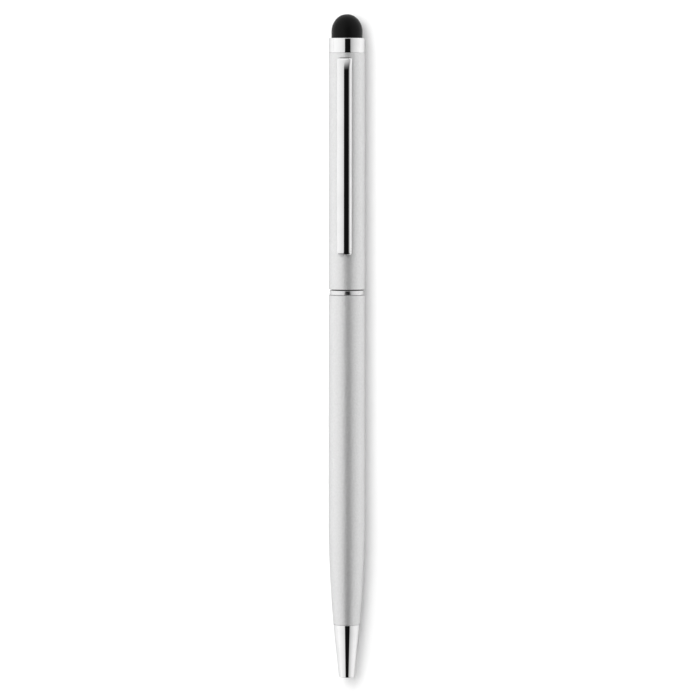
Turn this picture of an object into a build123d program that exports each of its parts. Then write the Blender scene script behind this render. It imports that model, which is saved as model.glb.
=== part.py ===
"""A slim twist-action ballpoint pen with a touch-screen stylus at its other end.

The pen lies along Y on the plane Z = 0, writing end towards -Y, with its pocket clip on top.
Turned pieces are drawn as half sections (radius, station) and revolved about the pen's axis.
A station is the distance from the mouth of the nose cone towards the stylus. Sizes are in
millimetres, and the pen is shown with its writing point drawn in.
"""

import os
from math import sqrt

from build123d import *

# Barrels: two lacquered aluminium tubes
BARREL_DIA = 7.4
BARREL_WALL = 0.5
LOWER_BARREL_LENGTH = 67.2
UPPER_BARREL_LENGTH = 48.0
TAPER_LENGTH = 22.6  # swaged front of the lower barrel
BARREL_EDGE = 0.1  # broken edge at the open ends

# Nose cone: plated brass, pushed into the lower barrel
NOSE_LENGTH = 10.8
NOSE_BASE_DIA = 5.38
NOSE_MOUTH_DIA = 3.15
NOSE_LIP = 0.25  # rounding of the mouth's rim
NOSE_SPIGOT_LENGTH = 5.0

# Centre ring: plated band that shows between the barrels
RING_LENGTH = 1.05
RING_RECESS = 0.175  # below the barrels' surface
RING_ROUND = 0.2
TWIST_GAP = 0.15  # the open joint above the ring

# Stylus end: plated cup, rubber dome and the stud that holds both
FERRULE_LENGTH = 3.0
FERRULE_ROUND = 0.45
FERRULE_FLOOR = 1.0
FERRULE_SPIGOT_LENGTH = 0.6
DOME_STEP = 0.55  # width of the ferrule's shoulder round the dome
DOME_HEIGHT = 4.8  # above the ferrule
DOME_TIP_INSET = 0.2  # the tip's arc is this much smaller than the skirt's radius
DOME_STRETCH = 0.55  # and its centre stands this far above the skirt
DOME_WALL = 0.9
DOME_FLANGE = 0.6  # the turned-in rim that the stud's head holds down
STUD_SHANK_DIA = 2.5
STUD_HEAD_LIP = 0.48  # how far the head reaches over the dome's rim
STUD_HEAD_HEIGHT = 1.6
STUD_HEAD_ROUND = 0.4
STUD_SHANK_LENGTH = 6.0

# Clip: crowned strip of spring steel, hooked through a slot in the upper barrel
CLIP_LENGTH = 40.0  # from the slot to the tip
CLIP_WIDTH = 3.07
CLIP_THICKNESS = 0.5
CLIP_GAP = 1.1  # pocket room between the barrel and the arm's middle
CLIP_CROWN_RADIUS = 3.3
CLIP_SHOULDER = 2.8  # length of the outer bend at the root
CLIP_CORNER = 0.2  # rounding of the shoulders, seen from above
CLIP_ROOT_STEP = 0.2  # the full width stops this far above the barrel
CLIP_TIP_BEND = 0.55
CLIP_ROOT_WIDTH = 2.1
CLIP_TANG_LENGTH = 4.4
CLIP_FOOT_GAP = 0.08
CLIP_INNER_BEND = 0.2
CLIP_HOOK_BEND = 0.7
SLOT_INSET = 0.9  # painted metal left between the slot and the barrel's end
SLOT_CORNER = 0.18
FLEX_GAP = 0.12  # room round the hooked end of the clip
PLUG_LENGTH = 9.0

# Twist mechanism: housing turns with the lower barrel, cam tube with the upper one
HOUSING_WALL = 0.4
HOUSING_SEAT_LENGTH = 12.0  # inside the lower barrel
CAM_WALL = 0.5
CAM_FLANGE = 1.0
CAM_HEAD_LENGTH = 8.0  # hexagonal drive head
CAM_END_INSET = 0.4
TWIST_ANGLE = 180.0  # turn that takes the point from drawn in to out
BUSH_LENGTH = 10.0
BUSH_WALL = 0.86  # least wall, outside the corners of its hexagonal socket
BUSH_ROOM = 2.4  # left free between the bush and the clip plug
SNAP_RING_THICKNESS = 0.5
SNAP_RING_BITE = 0.12  # how far the ring stands past the housing's bore
SNAP_RING_OPENING = 60.0  # degrees left out of the ring
SNAP_GROOVE_DEPTH = 0.22
SNAP_GROOVE_INSET = 0.7  # from the cam tube's end
CARRIER_BELOW_PIN = 9.0
CARRIER_ABOVE_PIN = 3.0
CARRIER_WALL = 0.84  # round the refill's stem
PIN_DIA = 1.2
PIN_INSET = 6.0  # from the top of the housing to the pin, point drawn in
PIN_DEPTH = 1.6  # length of the pin inside the carrier

# Refill: brass ink tube with a ball point, screwed into the carrier
BALL_DIA = 1.0
BALL_SHOWING = 0.3  # share of the ball ahead of its socket
RETRACT_DEPTH = 2.5  # ball behind the mouth when drawn in
PROTRUSION = 3.0  # ball ahead of the mouth when out
POINT_DIA = 2.3
POINT_RIM_DIA = 1.3
POINT_TAPER = 2.4
POINT_LENGTH = 9.0  # from the ball's front to the ink tube
POINT_COLLAR = 0.8  # full-width shoulder that stops against the ink tube
POINT_SHANK_LENGTH = 4.0
POINT_INK_HOLE_DIA = 0.6
TUBE_DIA = 3.0
TUBE_WALL = 0.3
REFILL_PLUG_SHOULDER = 1.5
REFILL_PLUG_STEM_LENGTH = 6.0
REFILL_PLUG_TAIL_LENGTH = 4.0
AIR_ROOM = 9.75  # air left in the ink tube behind the follower
FOLLOWER_LENGTH = 3.0  # grease plug that follows the ink

# Fits, as radial or facing clearances
PRESS_GAP = 0.02  # pushed, screwed or glued together
RUN_GAP = 0.08  # turns or slides
BALL_GAP = 0.02
PIN_GAP = 0.1
SLOT_END_RELIEF = 0.04  # the ends of the helical slot are drilled a little wider than it
TUBE_GAP = 0.15  # ink tube inside the nose cone
END_GAP = 0.5  # room left past the end of a stroke or a hole
SNAP_PLAY = 0.04  # snap ring in its groove
ROUND_LIMIT = 0.9  # the largest share of a wall's thickness that a rounding may take

# Stations along the axis
NOSE_BASE = NOSE_LENGTH
LOWER_TOP = NOSE_BASE + LOWER_BARREL_LENGTH
RING_TOP = LOWER_TOP + RING_LENGTH
UPPER_BASE = RING_TOP + TWIST_GAP
UPPER_TOP = UPPER_BASE + UPPER_BARREL_LENGTH
CUP_FLOOR = UPPER_TOP + FERRULE_FLOOR
FERRULE_TOP = UPPER_TOP + FERRULE_LENGTH
LENGTH = FERRULE_TOP + DOME_HEIGHT
PLUG_TOP = UPPER_TOP - FERRULE_SPIGOT_LENGTH
PLUG_BASE = PLUG_TOP - PLUG_LENGTH
BUSH_BASE = PLUG_BASE - BUSH_ROOM - BUSH_LENGTH
FLANGE_TOP = BUSH_BASE - RUN_GAP
FLANGE_BASE = FLANGE_TOP - CAM_FLANGE
HOUSING_BASE = LOWER_TOP - HOUSING_SEAT_LENGTH
HOUSING_TOP = FLANGE_BASE - RUN_GAP
PIN_STATION = HOUSING_TOP - PIN_INSET
TRAVEL = RETRACT_DEPTH + PROTRUSION
TUBE_BASE = RETRACT_DEPTH + POINT_LENGTH
CARRIER_BASE = PIN_STATION - CARRIER_BELOW_PIN
TUBE_TOP = CARRIER_BASE - REFILL_PLUG_SHOULDER

# Radii that follow from the sizes above
BARREL_R = BARREL_DIA / 2
BORE_R = BARREL_R - BARREL_WALL
NOSE_BASE_R = NOSE_BASE_DIA / 2
NOSE_MOUTH_R = NOSE_MOUTH_DIA / 2
FRONT_BORE_R = NOSE_BASE_R - BARREL_WALL
HOUSING_SEAT_R = BORE_R - PRESS_GAP
HOUSING_RUN_R = BORE_R - RUN_GAP
HOUSING_BORE_R = HOUSING_RUN_R - HOUSING_WALL
CAM_R = HOUSING_BORE_R - RUN_GAP
CAM_BORE_R = CAM_R - CAM_WALL
CARRIER_R = CAM_BORE_R - RUN_GAP
SOCKET_R = BORE_R - PRESS_GAP - BUSH_WALL
RING_R = BARREL_R - RING_RECESS
DOME_R = BARREL_R - DOME_STEP
DOME_TIP_R = DOME_R - DOME_TIP_INSET
POINT_R = POINT_DIA / 2
TUBE_R = TUBE_DIA / 2
TUBE_BORE_R = TUBE_R - TUBE_WALL
BALL_R = BALL_DIA / 2
STUD_HEAD_R = DOME_R - DOME_WALL - PRESS_GAP
STUD_SHANK_R = STUD_SHANK_DIA / 2
STUD_NECK_R = STUD_HEAD_R - STUD_HEAD_LIP

# Reference planes and the axis that everything turns about
AXIS_HEIGHT = BARREL_R
TIP = (0, -LENGTH / 2, AXIS_HEIGHT)
PEN_AXIS = Axis(TIP, (0, 1, 0))
SECTION = Plane(origin=TIP, x_dir=(1, 0, 0), z_dir=(0, 0, 1))  # local x radius, local y station
SIDE = Plane(origin=TIP, x_dir=(0, 1, 0), z_dir=(1, 0, 0))  # local x station, local y height
BELOW = Plane(origin=TIP, x_dir=(0, 1, 0), z_dir=(0, 0, -1))  # local x station, facing down


def cross_plane(station):
    """The plane square to the pen's axis at a station, facing the stylus end."""
    return Plane(origin=SECTION.from_local_coords((0, station, 0)), x_dir=(1, 0, 0), z_dir=(0, 1, 0))


def turn(*corners, mode=Mode.ADD):
    """Turn a half section, given by its (radius, station) corners, about the pen's axis."""
    with BuildSketch(SECTION) as half_section:
        with BuildLine():
            Polyline(*corners, close=True)
        make_face()
    revolve(half_section.sketch, axis=PEN_AXIS, mode=mode)


def turn_tube(inner, outer, base, top, mode=Mode.ADD):
    """Turn a plain tube, or a solid rod where the inner radius is 0."""
    turn((inner, base), (outer, base), (outer, top), (inner, top), mode=mode)


def rims(part, radius, station):
    """The circular edges of a turned part with a given radius at a given station."""
    along = SECTION.from_local_coords((0, station, 0)).Y
    return [
        edge
        for edge in part.edges().filter_by(GeomType.CIRCLE)
        if abs(edge.radius - radius) < 1e-4 and abs(edge.arc_center.Y - along) < 1e-4
    ]


# Nose cone. Its bore is close round the point and opens ahead of the furthest place of the collar.
bore_step = TUBE_BASE - POINT_COLLAR - TRAVEL - END_GAP
point_bore_r = POINT_R + RUN_GAP
nose_bore_r = TUBE_R + TUBE_GAP
spigot_r = FRONT_BORE_R - PRESS_GAP
spigot_top = NOSE_BASE + NOSE_SPIGOT_LENGTH
with BuildPart() as nose_cone:
    turn(
        (point_bore_r, 0),
        (NOSE_MOUTH_R, 0),
        (NOSE_BASE_R, NOSE_BASE),
        (spigot_r, NOSE_BASE),
        (spigot_r, spigot_top),
        (nose_bore_r, spigot_top),
        (nose_bore_r, bore_step),
        (point_bore_r, bore_step - (nose_bore_r - point_bore_r)),
    )
    fillet(rims(nose_cone, NOSE_MOUTH_R, 0), min(NOSE_LIP, ROUND_LIMIT * (NOSE_MOUTH_R - point_bore_r)))
nose_cone.part.label = "nose_cone"

# Lower barrel. Its front is swaged down to the nose cone in one long curve, a parabola that leaves
# the straight tube without a corner.
taper_middle = NOSE_BASE + TAPER_LENGTH / 2
taper_top = NOSE_BASE + TAPER_LENGTH
front_bore_top = spigot_top + END_GAP
with BuildPart() as lower_barrel:
    with BuildSketch(SECTION):
        with BuildLine():
            taper = Bezier((BARREL_R, taper_top), (BARREL_R, taper_middle), (NOSE_BASE_R, NOSE_BASE))
            Polyline(
                taper @ 1,
                (FRONT_BORE_R, NOSE_BASE),
                (FRONT_BORE_R, front_bore_top),
                (BORE_R, taper_top),
                (BORE_R, LOWER_TOP),
                (BARREL_R, LOWER_TOP),
                taper @ 0,
            )
        make_face()
    revolve(axis=PEN_AXIS)
    chamfer(rims(lower_barrel, BARREL_R, LOWER_TOP), BARREL_EDGE)
lower_barrel.part.label = "lower_barrel"

# Centre ring, pushed onto the housing against the end of the lower barrel.
with BuildPart() as centre_ring:
    turn_tube(HOUSING_SEAT_R + PRESS_GAP, RING_R, LOWER_TOP, RING_TOP)
    outer_rims = rims(centre_ring, RING_R, LOWER_TOP) + rims(centre_ring, RING_R, RING_TOP)
    fillet(outer_rims, RING_ROUND)
centre_ring.part.label = "centre_ring"

# Mechanism housing, with a straight slot that keeps the carrier's pin from turning.
snap_ring_r = HOUSING_BORE_R + SNAP_RING_BITE
snap_pocket_r = snap_ring_r + RUN_GAP
cam_base = HOUSING_BASE + CAM_END_INSET
snap_groove_base = cam_base + SNAP_GROOVE_INSET
snap_pocket_top = snap_groove_base + SNAP_RING_THICKNESS + RUN_GAP
slot_width = PIN_DIA + 2 * PIN_GAP
with BuildPart() as mechanism_housing:
    turn(
        (snap_pocket_r, HOUSING_BASE),
        (HOUSING_SEAT_R, HOUSING_BASE),
        (HOUSING_SEAT_R, RING_TOP),
        (HOUSING_RUN_R, RING_TOP),
        (HOUSING_RUN_R, HOUSING_TOP),
        (HOUSING_BORE_R, HOUSING_TOP),
        (HOUSING_BORE_R, snap_pocket_top),
        (snap_pocket_r, snap_pocket_top),
    )
    with BuildSketch(BELOW):
        with Locations((PIN_STATION - TRAVEL / 2, 0)):
            SlotCenterToCenter(TRAVEL, slot_width)
    extrude(amount=BARREL_R, mode=Mode.SUBTRACT)
mechanism_housing.part.label = "mechanism_housing"

# Cam tube, with the helical slot that drives the pin along as the barrels turn.
snap_groove_r = CAM_R - SNAP_GROOVE_DEPTH
cam_pitch = TRAVEL * 360 / TWIST_ANGLE
cam_path_r = (CAM_R + CAM_BORE_R) / 2
with BuildPart() as cam_tube:
    turn(
        (CAM_BORE_R, cam_base),
        (CAM_R, cam_base),
        (CAM_R, FLANGE_BASE),
        (HOUSING_RUN_R, FLANGE_BASE),
        (HOUSING_RUN_R, FLANGE_TOP),
        (0, FLANGE_TOP),
        (0, FLANGE_BASE),
        (CAM_BORE_R, FLANGE_BASE),
    )
    turn_tube(
        snap_groove_r,
        CAM_R + END_GAP,
        snap_groove_base,
        snap_groove_base + SNAP_RING_THICKNESS + SNAP_PLAY,
        mode=Mode.SUBTRACT,
    )
    with BuildSketch(cross_plane(FLANGE_TOP)):
        RegularPolygon(SOCKET_R - PRESS_GAP, 6)
    extrude(amount=CAM_HEAD_LENGTH)
    with BuildLine() as cam_path:
        Helix(
            cam_pitch,
            TRAVEL,
            cam_path_r,
            center=SECTION.from_local_coords((0, PIN_STATION, 0)),
            direction=(0, -1, 0),
            lefthand=True,
        )
    cam_start = cam_path.line @ 0
    cam_end = cam_path.line @ 1
    with BuildSketch(Plane(origin=cam_start, x_dir=(0, 0, -1), z_dir=cam_path.line % 0)):
        Rectangle(2 * CAM_WALL, slot_width)
    sweep(path=cam_path.line, is_frenet=True, mode=Mode.SUBTRACT)
    for end in (cam_start, cam_end):
        on_axis = Vector(0, end.Y, AXIS_HEIGHT)
        with BuildSketch(Plane(origin=on_axis, x_dir=(0, 1, 0), z_dir=end - on_axis)):
            Circle(slot_width / 2 + SLOT_END_RELIEF)
        extrude(amount=BARREL_R, mode=Mode.SUBTRACT)
cam_tube.part.label = "cam_tube"

# Snap ring: a wire clip in the cam tube's groove that keeps the cam in the housing.
with BuildPart() as snap_ring:
    with BuildSketch(SECTION):
        with BuildLine():
            ring_base = snap_groove_base + SNAP_PLAY / 2
            ring_inner = snap_groove_r + PRESS_GAP
            Polyline(
                (ring_inner, ring_base),
                (snap_ring_r, ring_base),
                (snap_ring_r, ring_base + SNAP_RING_THICKNESS),
                (ring_inner, ring_base + SNAP_RING_THICKNESS),
                close=True,
            )
        make_face()
    revolve(axis=PEN_AXIS, revolution_arc=360 - SNAP_RING_OPENING)
snap_ring.part.label = "snap_ring"

# Upper bush, glued into the upper barrel, with a hexagonal socket for the cam's drive head.
with BuildPart() as upper_bush:
    turn_tube(0, BORE_R - PRESS_GAP, BUSH_BASE, BUSH_BASE + BUSH_LENGTH)
    with BuildSketch(cross_plane(BUSH_BASE)):
        RegularPolygon(SOCKET_R, 6)
    extrude(amount=CAM_HEAD_LENGTH + END_GAP, mode=Mode.SUBTRACT)
upper_bush.part.label = "upper_bush"

# Upper barrel, with the clip's slot cut through its wall near the stylus end.
slot_top = UPPER_TOP - SLOT_INSET
root_top = slot_top - FLEX_GAP
root_base = root_top - CLIP_THICKNESS
slot_base = root_base - FLEX_GAP
slot_span = CLIP_ROOT_WIDTH + 2 * FLEX_GAP
with BuildPart() as upper_barrel:
    turn_tube(BORE_R, BARREL_R, UPPER_BASE, UPPER_TOP)
    end_rims = rims(upper_barrel, BARREL_R, UPPER_BASE) + rims(upper_barrel, BARREL_R, UPPER_TOP)
    chamfer(end_rims, BARREL_EDGE)
    with BuildSketch(SECTION):
        with Locations((0, (slot_top + slot_base) / 2)):
            RectangleRounded(slot_span, slot_top - slot_base, SLOT_CORNER)
    extrude(amount=BARREL_DIA, mode=Mode.SUBTRACT)
upper_barrel.part.label = "upper_barrel"

# Clip plug, pushed into the upper barrel behind the clip's hooked tang and tapped for the stud.
tang_outer = sqrt(BORE_R**2 - (CLIP_ROOT_WIDTH / 2) ** 2) - FLEX_GAP
tang_inner = tang_outer - CLIP_THICKNESS
tang_end = root_top - CLIP_TANG_LENGTH
with BuildPart() as clip_plug:
    turn_tube(STUD_SHANK_R + PRESS_GAP, BORE_R - PRESS_GAP, PLUG_BASE, PLUG_TOP)
    with BuildSketch(SECTION.offset(tang_inner - FLEX_GAP)):
        with Locations((0, (tang_end - FLEX_GAP + PLUG_TOP) / 2)):
            Rectangle(slot_span, PLUG_TOP - tang_end + FLEX_GAP)
    extrude(amount=BARREL_R, mode=Mode.SUBTRACT)
clip_plug.part.label = "clip_plug"

# Stylus ferrule: a cup with a holed floor and a short spigot that centres it in the barrel.
cup_r = DOME_R + PRESS_GAP
ferrule_spigot_r = BORE_R - PRESS_GAP
with BuildPart() as stylus_ferrule:
    turn(
        (STUD_SHANK_R + PRESS_GAP, PLUG_TOP),
        (ferrule_spigot_r, PLUG_TOP),
        (ferrule_spigot_r, UPPER_TOP),
        (BARREL_R, UPPER_TOP),
        (BARREL_R, FERRULE_TOP),
        (cup_r, FERRULE_TOP),
        (cup_r, CUP_FLOOR),
        (STUD_SHANK_R + PRESS_GAP, CUP_FLOOR),
    )
    chamfer(rims(stylus_ferrule, BARREL_R, UPPER_TOP), BARREL_EDGE)
    top_round = min(FERRULE_ROUND, ROUND_LIMIT * (BARREL_R - cup_r))
    fillet(rims(stylus_ferrule, BARREL_R, FERRULE_TOP), top_round)
stylus_ferrule.part.label = "stylus_ferrule"

# Stylus stud: its head holds the dome's rim down in the cup, its shank screws into the clip plug.
stud_neck_top = CUP_FLOOR + DOME_FLANGE + PRESS_GAP
stud_top = stud_neck_top + STUD_HEAD_HEIGHT
with BuildPart() as stylus_stud:
    turn(
        (0, PLUG_TOP - STUD_SHANK_LENGTH),
        (STUD_SHANK_R, PLUG_TOP - STUD_SHANK_LENGTH),
        (STUD_SHANK_R, CUP_FLOOR),
        (STUD_NECK_R, CUP_FLOOR),
        (STUD_NECK_R, stud_neck_top),
        (STUD_HEAD_R, stud_neck_top),
        (STUD_HEAD_R, stud_top),
        (0, stud_top),
    )
    fillet(rims(stylus_stud, STUD_HEAD_R, stud_top), STUD_HEAD_ROUND)
stylus_stud.part.label = "stylus_stud"

# Stylus dome: a hollow cap of conductive rubber with an air cushion above the stud. Its outline is
# a flank arc that leaves the straight skirt and meets the tip's arc where both share a normal.
crown_base = LENGTH - DOME_TIP_R - DOME_STRETCH
flank_r = (DOME_R**2 + DOME_STRETCH**2 - DOME_TIP_R**2) / (2 * DOME_TIP_INSET)
flank_share = flank_r / (flank_r - DOME_TIP_R)
flank_end = (
    (DOME_R - flank_r) * (1 - flank_share),
    crown_base + DOME_STRETCH * flank_share,
)
cavity_r = DOME_R - DOME_WALL
rim_hole_r = STUD_NECK_R + PRESS_GAP
with BuildPart() as stylus_dome:
    with BuildSketch(SECTION):
        with BuildLine():
            flank = TangentArc((DOME_R, crown_base), flank_end, tangent=(0, 1))
            TangentArc(flank @ 1, (0, LENGTH), tangent=flank % 1)
            Line((0, LENGTH), (0, crown_base + cavity_r))
            TangentArc((cavity_r, crown_base), (0, crown_base + cavity_r), tangent=(0, 1))
            Polyline(
                (cavity_r, crown_base),
                (cavity_r, CUP_FLOOR + DOME_FLANGE),
                (rim_hole_r, CUP_FLOOR + DOME_FLANGE),
                (rim_hole_r, CUP_FLOOR),
                (DOME_R, CUP_FLOOR),
                (DOME_R, crown_base),
            )
        make_face()
    revolve(axis=PEN_AXIS)
stylus_dome.part.label = "stylus_dome"

# Clip: hooked tang, bend over the barrel, crowned arm, and a foot turned in at the tip.
arm_top = BARREL_R + CLIP_GAP + CLIP_THICKNESS
crown_centre = arm_top - CLIP_CROWN_RADIUS
channel_r = CLIP_CROWN_RADIUS - CLIP_THICKNESS
arm_under = crown_centre + sqrt(channel_r**2 - (CLIP_WIDTH / 2) ** 2) - FLEX_GAP
root_step = BARREL_R + CLIP_ROOT_STEP
clip_tip = slot_top - CLIP_LENGTH
foot_back = clip_tip + CLIP_THICKNESS
foot_base = BARREL_R + CLIP_FOOT_GAP
shoulder_end = root_top - CLIP_SHOULDER
with BuildPart() as clip:
    with BuildSketch(SIDE):
        with BuildLine():
            EllipticalCenterArc(
                (shoulder_end, root_step), CLIP_SHOULDER, arm_top - root_step, start_angle=0, arc_size=90
            )
            Line((shoulder_end, arm_top), (clip_tip + CLIP_TIP_BEND, arm_top))
            RadiusArc(
                (clip_tip + CLIP_TIP_BEND, arm_top),
                (clip_tip, arm_top - CLIP_TIP_BEND),
                -CLIP_TIP_BEND,
            )
            Polyline(
                (clip_tip, arm_top - CLIP_TIP_BEND),
                (clip_tip, foot_base),
                (foot_back, foot_base),
                (foot_back, arm_under),
                (root_base, arm_under),
                (root_base, tang_outer + CLIP_INNER_BEND),
            )
            RadiusArc(
                (root_base, tang_outer + CLIP_INNER_BEND),
                (root_base - CLIP_INNER_BEND, tang_outer),
                CLIP_INNER_BEND,
            )
            Polyline(
                (root_base - CLIP_INNER_BEND, tang_outer),
                (tang_end, tang_outer),
                (tang_end, tang_inner),
                (root_top - CLIP_HOOK_BEND, tang_inner),
            )
            RadiusArc(
                (root_top - CLIP_HOOK_BEND, tang_inner),
                (root_top, tang_inner + CLIP_HOOK_BEND),
                -CLIP_HOOK_BEND,
            )
            Line((root_top, tang_inner + CLIP_HOOK_BEND), (root_top, root_step))
        make_face()
    extrude(amount=CLIP_WIDTH / 2, both=True)
    with BuildSketch(cross_plane(clip_tip)):
        with Locations((0, -crown_centre)):
            Circle(CLIP_CROWN_RADIUS)
    extrude(amount=CLIP_LENGTH, mode=Mode.INTERSECT)
    with BuildSketch(SECTION):
        with Locations((0, (clip_tip + root_top) / 2)):
            RectangleRounded(CLIP_WIDTH, root_top - clip_tip, CLIP_CORNER)
    extrude(amount=2 * BARREL_DIA, mode=Mode.INTERSECT)
    with BuildSketch(cross_plane(foot_back)):
        with Locations((0, -crown_centre)):
            Circle(channel_r)
    extrude(amount=shoulder_end - foot_back, mode=Mode.SUBTRACT)
    with BuildSketch(cross_plane(tang_end - END_GAP)):
        with Locations((0, -root_step / 2)):
            Rectangle(2 * BARREL_DIA, root_step)
            Rectangle(CLIP_ROOT_WIDTH, root_step, mode=Mode.SUBTRACT)
    extrude(amount=CLIP_LENGTH, mode=Mode.SUBTRACT)
clip.part.label = "clip"

# Refill carrier: slides in the cam tube and takes the refill's screwed stem.
stem_hole_r = CARRIER_R - CARRIER_WALL
stem_r = stem_hole_r - PRESS_GAP
pin_r = PIN_DIA / 2
pin_base = CARRIER_R - PIN_DEPTH
with BuildPart() as refill_carrier:
    turn_tube(0, CARRIER_R, CARRIER_BASE, PIN_STATION + CARRIER_ABOVE_PIN)
    turn_tube(
        0,
        stem_hole_r,
        CARRIER_BASE,
        CARRIER_BASE + REFILL_PLUG_STEM_LENGTH + END_GAP,
        mode=Mode.SUBTRACT,
    )
    with BuildSketch(BELOW.offset(pin_base - PRESS_GAP)):
        with Locations((PIN_STATION, 0)):
            Circle(pin_r + PRESS_GAP)
    extrude(amount=BARREL_R, mode=Mode.SUBTRACT)
refill_carrier.part.label = "refill_carrier"

# Carrier pin: through the cam's helical slot into the housing's straight one.
with BuildPart() as carrier_pin:
    with BuildSketch(BELOW.offset(pin_base)):
        with Locations((PIN_STATION, 0)):
            Circle(pin_r)
    extrude(amount=HOUSING_RUN_R - PIN_GAP - pin_base)
carrier_pin.part.label = "carrier_pin"

# Refill plug: closes the ink tube and screws into the carrier.
plug_tail_r = TUBE_BORE_R - PRESS_GAP
plug_shoulder_r = (TUBE_R + CARRIER_R) / 2
with BuildPart() as refill_plug:
    turn(
        (0, TUBE_TOP - REFILL_PLUG_TAIL_LENGTH),
        (plug_tail_r, TUBE_TOP - REFILL_PLUG_TAIL_LENGTH),
        (plug_tail_r, TUBE_TOP),
        (plug_shoulder_r, TUBE_TOP),
        (plug_shoulder_r, CARRIER_BASE),
        (stem_r, CARRIER_BASE),
        (stem_r, CARRIER_BASE + REFILL_PLUG_STEM_LENGTH),
        (0, CARRIER_BASE + REFILL_PLUG_STEM_LENGTH),
    )
refill_plug.part.label = "refill_plug"

# Refill tube
with BuildPart() as refill_tube:
    turn_tube(TUBE_BORE_R, TUBE_R, TUBE_BASE, TUBE_TOP)
refill_tube.part.label = "refill_tube"

# Ink column, on the point's shank, and the grease follower above it.
ink_base = TUBE_BASE + POINT_SHANK_LENGTH
ink_top = TUBE_TOP - REFILL_PLUG_TAIL_LENGTH - AIR_ROOM - FOLLOWER_LENGTH
with BuildPart() as ink_column:
    turn_tube(0, TUBE_BORE_R - PRESS_GAP, ink_base, ink_top)
ink_column.part.label = "ink_column"

with BuildPart() as ink_follower:
    turn_tube(0, TUBE_BORE_R - PRESS_GAP, ink_top, ink_top + FOLLOWER_LENGTH)
ink_follower.part.label = "ink_follower"

# Refill point: tapered end with the ball's socket, collar, and a shank pushed into the ink tube.
ball_station = RETRACT_DEPTH + BALL_R
rim_station = RETRACT_DEPTH + BALL_SHOWING * BALL_DIA
point_hole_r = POINT_INK_HOLE_DIA / 2
with BuildPart() as refill_point:
    turn(
        (point_hole_r, rim_station),
        (POINT_RIM_DIA / 2, rim_station),
        (POINT_R, rim_station + POINT_TAPER),
        (POINT_R, TUBE_BASE - POINT_COLLAR),
        (TUBE_R, TUBE_BASE - POINT_COLLAR),
        (TUBE_R, TUBE_BASE),
        (TUBE_BORE_R - PRESS_GAP, TUBE_BASE),
        (TUBE_BORE_R - PRESS_GAP, ink_base),
        (point_hole_r, ink_base),
    )
    with Locations(SECTION.from_local_coords((0, ball_station, 0))):
        Sphere(BALL_R + BALL_GAP, mode=Mode.SUBTRACT)
refill_point.part.label = "refill_point"

# Writing ball
with BuildPart() as writing_ball:
    with Locations(SECTION.from_local_coords((0, ball_station, 0))):
        Sphere(BALL_R)
writing_ball.part.label = "writing_ball"

os.makedirs("parts", exist_ok=True)
export_step(nose_cone.part, "parts/nose_cone.step")
export_step(lower_barrel.part, "parts/lower_barrel.step")
export_step(centre_ring.part, "parts/centre_ring.step")
export_step(mechanism_housing.part, "parts/mechanism_housing.step")
export_step(cam_tube.part, "parts/cam_tube.step")
export_step(snap_ring.part, "parts/snap_ring.step")
export_step(upper_bush.part, "parts/upper_bush.step")
export_step(upper_barrel.part, "parts/upper_barrel.step")
export_step(clip_plug.part, "parts/clip_plug.step")
export_step(stylus_ferrule.part, "parts/stylus_ferrule.step")
export_step(stylus_stud.part, "parts/stylus_stud.step")
export_step(stylus_dome.part, "parts/stylus_dome.step")
export_step(clip.part, "parts/clip.step")
export_step(refill_carrier.part, "parts/refill_carrier.step")
export_step(carrier_pin.part, "parts/carrier_pin.step")
export_step(refill_plug.part, "parts/refill_plug.step")
export_step(refill_tube.part, "parts/refill_tube.step")
export_step(ink_column.part, "parts/ink_column.step")
export_step(ink_follower.part, "parts/ink_follower.step")
export_step(refill_point.part, "parts/refill_point.step")
export_step(writing_ball.part, "parts/writing_ball.step")
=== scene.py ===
"""A slim twist-action ballpoint pen with a touch-screen stylus at its other end, dressed for view.

The pen lies along Y on the floor, writing end towards -Y, clip on top. Everything is in metres in
the frame's own axes, and sizes that are given in millimetres are multiplied by MM.
"""

from math import asin, atan, atan2, cos, pi, radians, sin, sqrt, tan

import bpy
from mathutils import Matrix, Vector


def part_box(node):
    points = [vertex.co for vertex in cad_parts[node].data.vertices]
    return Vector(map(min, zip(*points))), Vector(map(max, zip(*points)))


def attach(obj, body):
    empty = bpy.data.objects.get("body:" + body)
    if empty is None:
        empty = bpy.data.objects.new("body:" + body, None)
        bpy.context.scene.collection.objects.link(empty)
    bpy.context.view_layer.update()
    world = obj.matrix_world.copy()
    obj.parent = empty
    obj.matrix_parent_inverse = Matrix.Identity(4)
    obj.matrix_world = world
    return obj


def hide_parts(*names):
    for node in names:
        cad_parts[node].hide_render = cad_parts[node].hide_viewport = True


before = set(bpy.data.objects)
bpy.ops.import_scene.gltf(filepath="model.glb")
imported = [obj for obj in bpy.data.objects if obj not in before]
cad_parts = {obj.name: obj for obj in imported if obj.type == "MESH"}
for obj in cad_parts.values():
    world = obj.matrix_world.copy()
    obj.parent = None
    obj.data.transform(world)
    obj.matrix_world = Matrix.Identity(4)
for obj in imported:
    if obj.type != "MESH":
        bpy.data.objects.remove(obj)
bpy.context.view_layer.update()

# Nose cone: turned from brass, polished and plated with bright chromium. Its spigot is pushed into
# the front of the lower barrel, and its mouth guides the writing point.
MM = 0.001
nose_low, nose_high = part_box("nose_cone")
AXIS_Z = (nose_low.z + nose_high.z) / 2
nose_base_r = (nose_high.x - nose_low.x) / 2
nose_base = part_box("lower_barrel")[0].y
NOSE_MOUTH_R = 1.575 * MM
NOSE_LIP = 0.1 * MM
NOSE_EDGE = 0.1 * MM
NOSE_SPIGOT_R = 2.17 * MM
NOSE_BORE_R = 1.65 * MM
NOSE_POINT_BORE_R = 1.23 * MM
NOSE_BORE_STEP = 4.7 * MM

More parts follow.
